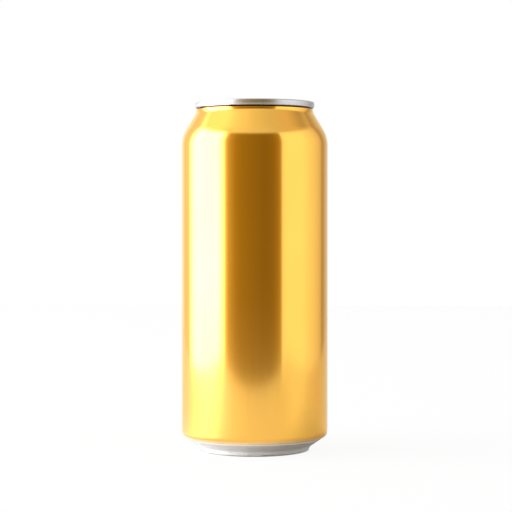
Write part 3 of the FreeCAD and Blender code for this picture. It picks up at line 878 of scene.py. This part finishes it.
def end_aluminium():
    """The same sheet, but smooth bare metal with faint turned lines on the seam and the wall inside it."""
    material, nodes, link, shader = new_material("end_aluminium")
    grain = stretched_noise(nodes, link, ROLLED_GRAIN, detail=5.0)
    lines = stretched_noise(nodes, link, SEAM_LINES)
    seam = risen(nodes, link, axis_reach(nodes, link), PANEL_R, SEAM_START)
    marks = blended(nodes, link, seam, grain, lines)
    link(sheet_colour(nodes, link, marks, END_COLOUR), shader.inputs["Base Color"])
    panel_dull = sheet_dull(nodes, link, grain, END_ROUGHNESS, SHEET_SPREAD)
    seam_dull = sheet_dull(nodes, link, lines, END_ROUGHNESS, SEAM_SPREAD)
    link(blended(nodes, link, seam, panel_dull, seam_dull), shader.inputs["Roughness"])
    link(blended(nodes, link, seam, SHEET_METALLIC, 1.0), shader.inputs["Metallic"])
    raised = computed(nodes, link, "MULTIPLY", grain, blended(nodes, link, seam, 1.0, 0.0))
    bumped(nodes, link, raised, shader, ROLLED_DEPTH, ROLLED_STRENGTH)
    return material


# --- Studio ---------------------------------------------------------------------------------------

CAMERA_AWAY = 741.5 * MM
CAMERA_UP = 105.5 * MM
CAMERA_SIDE = 0.6 * MM
CAMERA_DIP = math.radians(1.37)
CAMERA_LENS = 115.0

# Table: where it ends, its hole under the dome, and its shade round the foot and towards +X.
FLOOR_FRONT = 342 * MM
FLOOR_SIDE = 430 * MM
FLOOR_BACK = 1200 * MM
UNDER_DOME = 21 * MM
FLOOR_ALBEDO = 0.7
SHADE_LEAN = -0.75
SHADE_END = 75 * MM
CONTACT_SHADE = 0.9 * MM
# Painted shadow: the paper is made darker right round the foot.
CONTACT_SHADOW_ALBEDO = 0.3

# How much of the table's white is its own glow: to the eye, at the foot, and in reflections.
PLAIN_SHARE = 0.93
CONTACT_SHARE = 0.3
MIRRORED_SHARE = 0.65

# Shell of light: where its bands start and end, by elevation, and its light below and overhead.
STUDIO_R = 1.8
LOW_BAND = (math.radians(-3), math.radians(-6.5))
UNDER_BAND = (math.radians(-25), math.radians(-65))
HIGH_BAND = (math.radians(31), math.radians(43))
CEILING_BAND = (math.radians(66), math.radians(78))
LOW_SHARE = 0.1
UNDER_LIGHT = 0.3
ZENITH = 0.5
BRIGHTEST = 9.0
TABLE_BRIGHTEST = 5.5

# Tints of the light: neutral, a cool window side, and the warm dark room behind the camera.
PLAIN = (1.0, 1.0, 1.0)
COOL = (1.0, 1.0, 1.15)
BLUE = (1.0, 1.0, 1.4)
AMBER = (1.15, 1.0, 0.9)
DUSK = (1.25, 1.0, 0.45)
WARM = (1.45, 1.0, 0.2)

# Light round the can, as (degrees from the camera towards +X, brightness, tint): at eye level,
LEVEL_LIGHT = [
    (-180, 1.2, PLAIN), (-151, 1.25, PLAIN), (-140, 1.0, PLAIN), (-124, 1.2, COOL), (-117, 3.4, COOL),
    (-104, 9.0, COOL), (-60, 9.0, COOL), (-53, 5.0, COOL), (-48, 2.0, COOL), (-44.5, 0.85, DUSK),
    (-41, 0.56, DUSK), (-30, 0.33, WARM), (-22, 0.275, WARM), (-5, 0.23, WARM), (14, 0.195, WARM),
    (27, 0.205, WARM), (36, 0.28, WARM), (41, 0.42, DUSK), (43.5, 1.3, PLAIN), (50, 1.45, PLAIN),
    (80, 1.45, PLAIN), (99, 1.18, PLAIN), (116, 0.95, PLAIN), (126, 0.7, AMBER), (130, 0.42, AMBER),
    (136, 0.5, AMBER), (145, 0.68, PLAIN), (157, 0.82, PLAIN), (175, 1.0, PLAIN),
]
# from above,
HIGH_LIGHT = [
    (-180, 0.8, PLAIN), (-150, 1.1, PLAIN), (-100, 1.7, PLAIN), (-75, 1.75, PLAIN), (-50, 1.3, PLAIN),
    (-5, 1.0, PLAIN), (40, 0.82, PLAIN), (85, 0.74, AMBER), (112, 0.47, AMBER), (140, 0.34, PLAIN),
    (155, 0.36, PLAIN), (166, 0.6, PLAIN), (175, 0.8, PLAIN),
]
# and off the table.
TABLE_LIGHT = [
    (-180, 1.1, PLAIN), (-140, 1.2, PLAIN), (-124, 1.5, BLUE), (-106, 2.2, BLUE), (-91, 2.8, BLUE),
    (-75, 3.2, BLUE), (-58, 2.7, BLUE), (-48, 2.1, BLUE), (-41, 1.7, BLUE), (-29, 1.4, COOL),
    (-7, 1.15, COOL), (16, 1.06, COOL), (41, 1.05, PLAIN), (62, 1.25, PLAIN), (77, 1.2, PLAIN),
    (87, 1.0, PLAIN), (99, 0.84, AMBER), (109, 0.78, AMBER), (118, 0.76, AMBER), (135, 0.76, PLAIN),
    (156, 0.8, PLAIN), (175, 1.1, PLAIN),
]


def light_ramp(nodes, link, turn, stops, brightest):
    """Brightness by azimuth, as a share of the brightest."""
    ramp = nodes.new("ShaderNodeValToRGB")
    elements = ramp.color_ramp.elements
    while len(elements) < len(stops):
        elements.new(0.5)
    for element, (degrees, brightness, tint) in zip(elements, stops):
        element.position = (degrees + 180) / 360
        element.color = (*(min(1, brightness / brightest * channel) for channel in tint), 1)
    link(turn, ramp.inputs["Fac"])
    return ramp.outputs["Color"]


def azimuth_turn(nodes, link, axes):
    """The direction round the can: 0 to 1 from behind by way of -X, -Y and +X."""
    away = computed(nodes, link, "MULTIPLY", axes["Y"], -1.0)
    azimuth = computed(nodes, link, "ARCTAN2", axes["X"], away)
    return ranged(nodes, link, azimuth, -math.pi, math.pi, 0.0, 1.0)


def past_elevation(nodes, link, height, band):
    """0 on the shell before a band of elevations, 1 past it, smooth between."""
    start, finish = (STUDIO_R * math.sin(elevation) for elevation in band)
    return risen(nodes, link, height, start, finish)


def grey(brightness):
    """A neutral glow as a share of the brightest."""
    return (*(brightness / BRIGHTEST for _ in range(3)), 1)


def empty_material(name):
    """A material without a shader, its nodes and the call that links two sockets."""
    material = bpy.data.materials.new(name)
    material.use_nodes = True
    nodes = material.node_tree.nodes
    nodes.clear()
    return material, nodes, material.node_tree.links.new


def studio_material():
    """Glow of the softboxes, panels and dark gap round the can, by direction from its middle."""
    material, nodes, link = empty_material("studio_light")
    axes = own_axes(nodes, link)
    turn = azimuth_turn(nodes, link, axes)
    level = light_ramp(nodes, link, turn, LEVEL_LIGHT, BRIGHTEST)
    high = light_ramp(nodes, link, turn, HIGH_LIGHT, BRIGHTEST)
    low = light_ramp(nodes, link, turn, TABLE_LIGHT, BRIGHTEST)
    sinking = blended(nodes, link, past_elevation(nodes, link, axes["Z"], LOW_BAND), 0.0, LOW_SHARE)
    glow = mixed_colour(nodes, link, sinking, level, low)
    glow = mixed_colour(nodes, link, past_elevation(nodes, link, axes["Z"], HIGH_BAND), glow, high)
    for band, brightness in ((UNDER_BAND, UNDER_LIGHT), (CEILING_BAND, ZENITH)):
        past = past_elevation(nodes, link, axes["Z"], band)
        glow = mixed_colour(nodes, link, past, glow, grey(brightness))
    light = nodes.new("ShaderNodeEmission")
    light.inputs["Strength"].default_value = BRIGHTEST
    output = nodes.new("ShaderNodeOutputMaterial")
    link(glow, light.inputs["Color"])
    link(light.outputs["Emission"], output.inputs["Surface"])
    return material


def make_studio():
    """A shell of soft light round the can, which only its reflections show."""
    mesh = bmesh.new()
    bmesh.ops.create_uvsphere(mesh, u_segments=96, v_segments=48, radius=STUDIO_R)
    data = bpy.data.meshes.new("studio_light")
    mesh.to_mesh(data)
    mesh.free()
    data.materials.append(studio_material())
    shell = linked("studio_light", data)
    shell.location = (0, 0, (body_low.z + body_high.z) / 2)
    shell.visible_camera = False
    shell.visible_transmission = False
    shell.visible_shadow = False


def seen_plainly(nodes, link):
    """1 for the rays that see the background as it is, and 1 for the glossy ones among them."""
    rays = nodes.new("ShaderNodeLightPath").outputs
    direct = computed(nodes, link, "MAXIMUM", rays["Is Camera Ray"], rays["Is Glossy Ray"])
    return computed(nodes, link, "MAXIMUM", direct, rays["Is Transmission Ray"]), rays["Is Glossy Ray"]


def floor_material():
    """White paper with a faint shadow to the eye; the can mirrors it as a glow, shaded near its foot."""
    material, nodes, link = empty_material("floor")
    axes = own_axes(nodes, link)
    reach = axis_reach(nodes, link)
    plain, glossy = seen_plainly(nodes, link)
    clear_of_foot = risen(nodes, link, reach, FOOT_R, FOOT_R + CONTACT_SHADE)
    dark_side = computed(nodes, link, "MAXIMUM", axes["X"], 0.0)
    leaning = computed(nodes, link, "MULTIPLY_ADD", dark_side, SHADE_LEAN, reach)
    clear_of_can = risen(nodes, link, leaning, FOOT_R, SHADE_END)
    paper = nodes.new("ShaderNodeBsdfDiffuse")
    link(blended(nodes, link, clear_of_foot, CONTACT_SHADOW_ALBEDO, FLOOR_ALBEDO), paper.inputs["Color"])
    glow = light_ramp(nodes, link, azimuth_turn(nodes, link, axes), TABLE_LIGHT, TABLE_BRIGHTEST)
    white = nodes.new("ShaderNodeEmission")
    link(mixed_colour(nodes, link, glossy, (1, 1, 1, 1), glow), white.inputs["Color"])
    link(blended(nodes, link, glossy, 1.0, TABLE_BRIGHTEST), white.inputs["Strength"])
    direct = blended(nodes, link, clear_of_foot, CONTACT_SHARE, PLAIN_SHARE)
    mirrored = blended(nodes, link, clear_of_can, 0.0, MIRRORED_SHARE)
    glowing = blended(nodes, link, glossy, direct, mirrored)
    top = nodes.new("ShaderNodeMixShader")
    link(computed(nodes, link, "MULTIPLY", plain, glowing), top.inputs["Fac"])
    link(paper.outputs["BSDF"], top.inputs[1])
    link(white.outputs["Emission"], top.inputs[2])
    clear = nodes.new("ShaderNodeBsdfTransparent")
    side = nodes.new("ShaderNodeNewGeometry")
    both = nodes.new("ShaderNodeMixShader")
    link(side.outputs["Backfacing"], both.inputs["Fac"])
    link(top.outputs["Shader"], both.inputs[1])
    link(clear.outputs["BSDF"], both.inputs[2])
    output = nodes.new("ShaderNodeOutputMaterial")
    link(both.outputs["Shader"], output.inputs["Surface"])
    return material


def make_floor():
    """A white table that ends round the can, is open under its dome and is clear from below."""
    edge = [
        Vector((-FLOOR_SIDE, -FLOOR_FRONT)), Vector((FLOOR_SIDE, -FLOOR_FRONT)),
        Vector((FLOOR_SIDE, FLOOR_BACK)), Vector((-FLOOR_SIDE, FLOOR_BACK)),
    ]
    plan, faces = triangulated([edge, circle_loop(0, 0, UNDER_DOME, count=64)])
    kept = [face for face in faces if np.hypot(*plan[list(face)].mean(axis=0)) > UNDER_DOME]
    data = bpy.data.meshes.new("floor")
    data.from_pydata([(x, y, 0) for x, y in plan], [], kept)
    data.materials.append(floor_material())
    floor = linked("floor", data)


def make_world():
    """White wherever the background is seen; the studio's shell gives all other light."""
    world = bpy.data.worlds.new("studio")
    bpy.context.scene.world = world
    world.use_nodes = True
    nodes, link = world.node_tree.nodes, world.node_tree.links.new
    background = nodes["Background"]
    background.inputs["Color"].default_value = (1, 1, 1, 1)
    plain, _ = seen_plainly(nodes, link)
    link(plain, background.inputs["Strength"])


def make_camera():
    """A long lens level with two thirds of the can's height, dipped a little."""
    data = bpy.data.cameras.new("camera")
    data.lens = CAMERA_LENS
    camera = linked("camera", data)
    camera.location = (CAMERA_SIDE, -CAMERA_AWAY, CAMERA_UP)
    camera.rotation_euler = (math.pi / 2 - CAMERA_DIP, 0, 0)
    bpy.context.scene.camera = camera


wall_piece, base_piece = make_body()
end_piece = make_end()
tab_piece = make_tab()
wall_piece.data.materials.append(gold_lacquer())
base_piece.data.materials.append(bare_aluminium())
end_piece.data.materials.append(end_aluminium())
tab_piece.data.materials.append(tab_aluminium())
make_camera()
make_floor()
make_world()
make_studio()
bpy.context.scene.view_settings.view_transform = "Standard"

bpy.context.view_layer.update()
